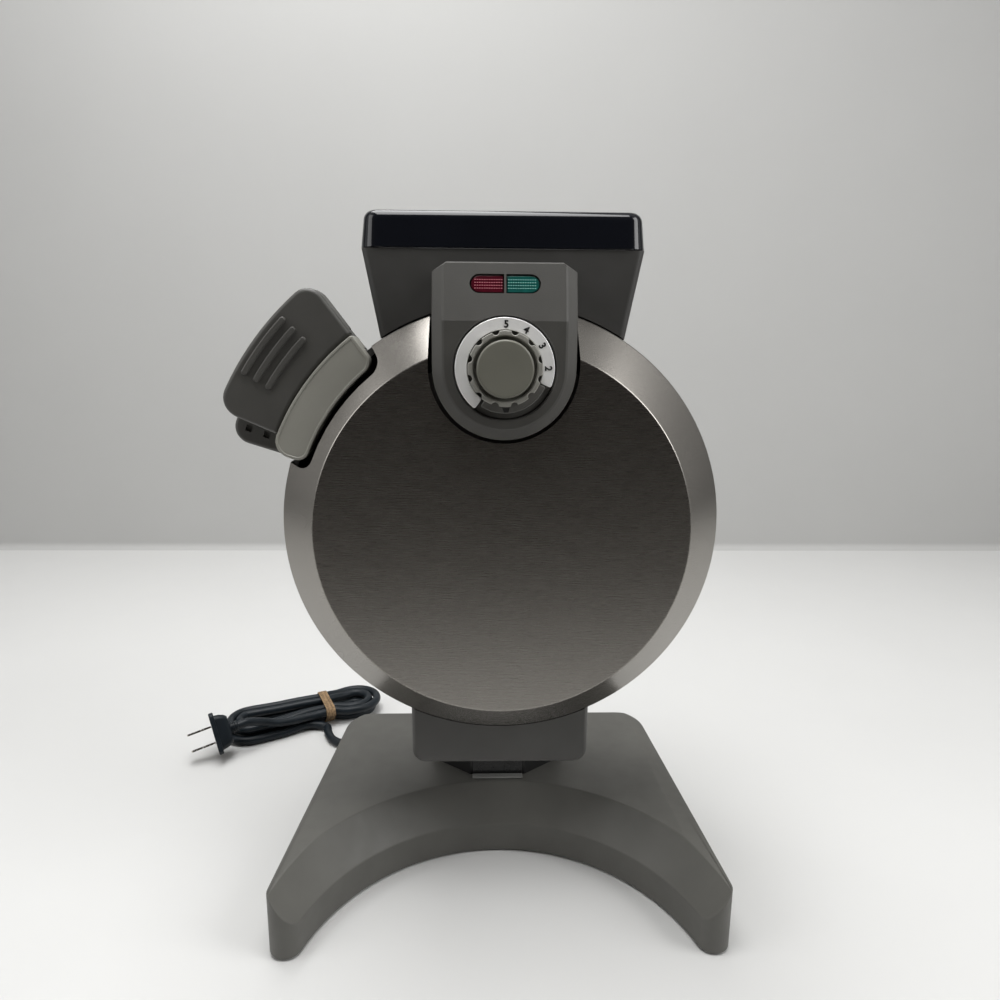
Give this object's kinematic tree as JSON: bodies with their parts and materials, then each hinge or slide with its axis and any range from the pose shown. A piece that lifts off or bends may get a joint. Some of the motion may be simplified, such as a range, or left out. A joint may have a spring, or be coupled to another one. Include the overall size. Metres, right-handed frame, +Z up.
{
  "type": "vertical waffle maker",
  "caption": "Upright waffle maker on a horseshoe base, with a spout on top, a fold-down front half, a squeeze latch and a browning knob.",
  "frame": {"origin": "on the floor, in the middle of the base's bridge, below the base plate", "axes": "+Z up, +X to the right of someone who faces the front, the front faces -Y"},
  "size_m": [0.3648, 0.2946, 0.3871],
  "materials": {
    "base_grey": "fine matt texture",
    "neck_grey": "fine matt texture",
    "dark_grey": "satin",
    "black_plastic": "satin",
    "gloss_black": "high gloss",
    "brushed_shell": "radially brushed",
    "steel": "zinc plated",
    "cast_aluminium": "dark non-stick coating",
    "silver": "satin metallised",
    "rubber": "matt",
    "red_lens": "clear",
    "green_lens": "clear",
    "circuit_board": "solder mask",
    "white_plastic": "moulded",
    "elastic": "elastic band"
  },
  "bodies": {
    "stand": {"base_shell": "base_grey", "base_plate": "black_plastic", "rubber_foot_1": "rubber", "rubber_foot_2": "rubber", "rubber_foot_3": "rubber", "rubber_foot_4": "rubber", "rubber_foot_5": "rubber", "terminal_block": "white_plastic", "column": "black_plastic", "hinge_bracket": "steel", "hinge_pin": "steel", "hinge_clip_1": "steel", "hinge_clip_2": "steel", "rear_ring": "black_plastic", "rear_plate": "cast_aluminium", "rear_element": "steel", "rear_heat_shield": "steel", "thermal_fuse": "white_plastic", "rear_shell": "black_plastic", "rear_screw_1": "steel", "rear_screw_2": "steel", "rear_screw_3": "steel", "rear_screw_4": "steel", "rear_handle": "black_plastic", "rear_handle_cover": "black_plastic", "latch_strike": "steel", "spout_housing": "black_plastic", "batter_chute": "black_plastic", "spout_rim": "gloss_black", "cord_gland": "black_plastic", "cord_lead": "black_plastic", "cord_hank": "black_plastic", "cord_tail": "black_plastic", "cord_tie": "elastic", "power_plug": "black_plastic", "plug_blade_1": "silver", "plug_blade_2": "silver"},
    "door": {"front_ring": "neck_grey", "front_plate": "cast_aluminium", "front_element": "steel", "front_heat_shield": "steel", "front_shell": "brushed_shell", "hinge_cover": "neck_grey", "control_housing": "dark_grey", "red_lens": "red_lens", "green_lens": "green_lens", "lamp_board": "circuit_board", "indicator_lamp_1": "white_plastic", "indicator_lamp_2": "white_plastic", "beeper": "black_plastic", "thermostat": "steel", "handle_bracket": "dark_grey", "latch_pin": "steel", "latch_spring": "steel"},
    "dial": {"browning_knob": "black_plastic", "dial_ring": "silver", "knob_cap": "dark_grey", "thermostat_shaft": "steel"},
    "latch": {"latch_paddle": "dark_grey", "latch_hook": "steel"}
  },
  "joints": [
    {"name": "door_hinge", "type": "hinge", "parent": "stand", "child": "door", "pos_m": [0, -0.05, 0.098], "axis": [1, 0, 0], "range_deg": [0, 90]},
    {"name": "knob_turn", "type": "hinge", "parent": "door", "child": "dial", "pos_m": [0, -0.109, 0.3093], "axis": [0, -1, 0], "range_deg": [0, 117]},
    {"name": "latch_squeeze", "type": "hinge", "parent": "door", "child": "latch", "pos_m": [-0.10384, -0.0785, 0.3053], "axis": [-0.6211, 0, -0.7837], "range_deg": [0, 8], "stiffness_Nm_per_rad": 0.8, "springref_deg": -2.86}
  ]
}
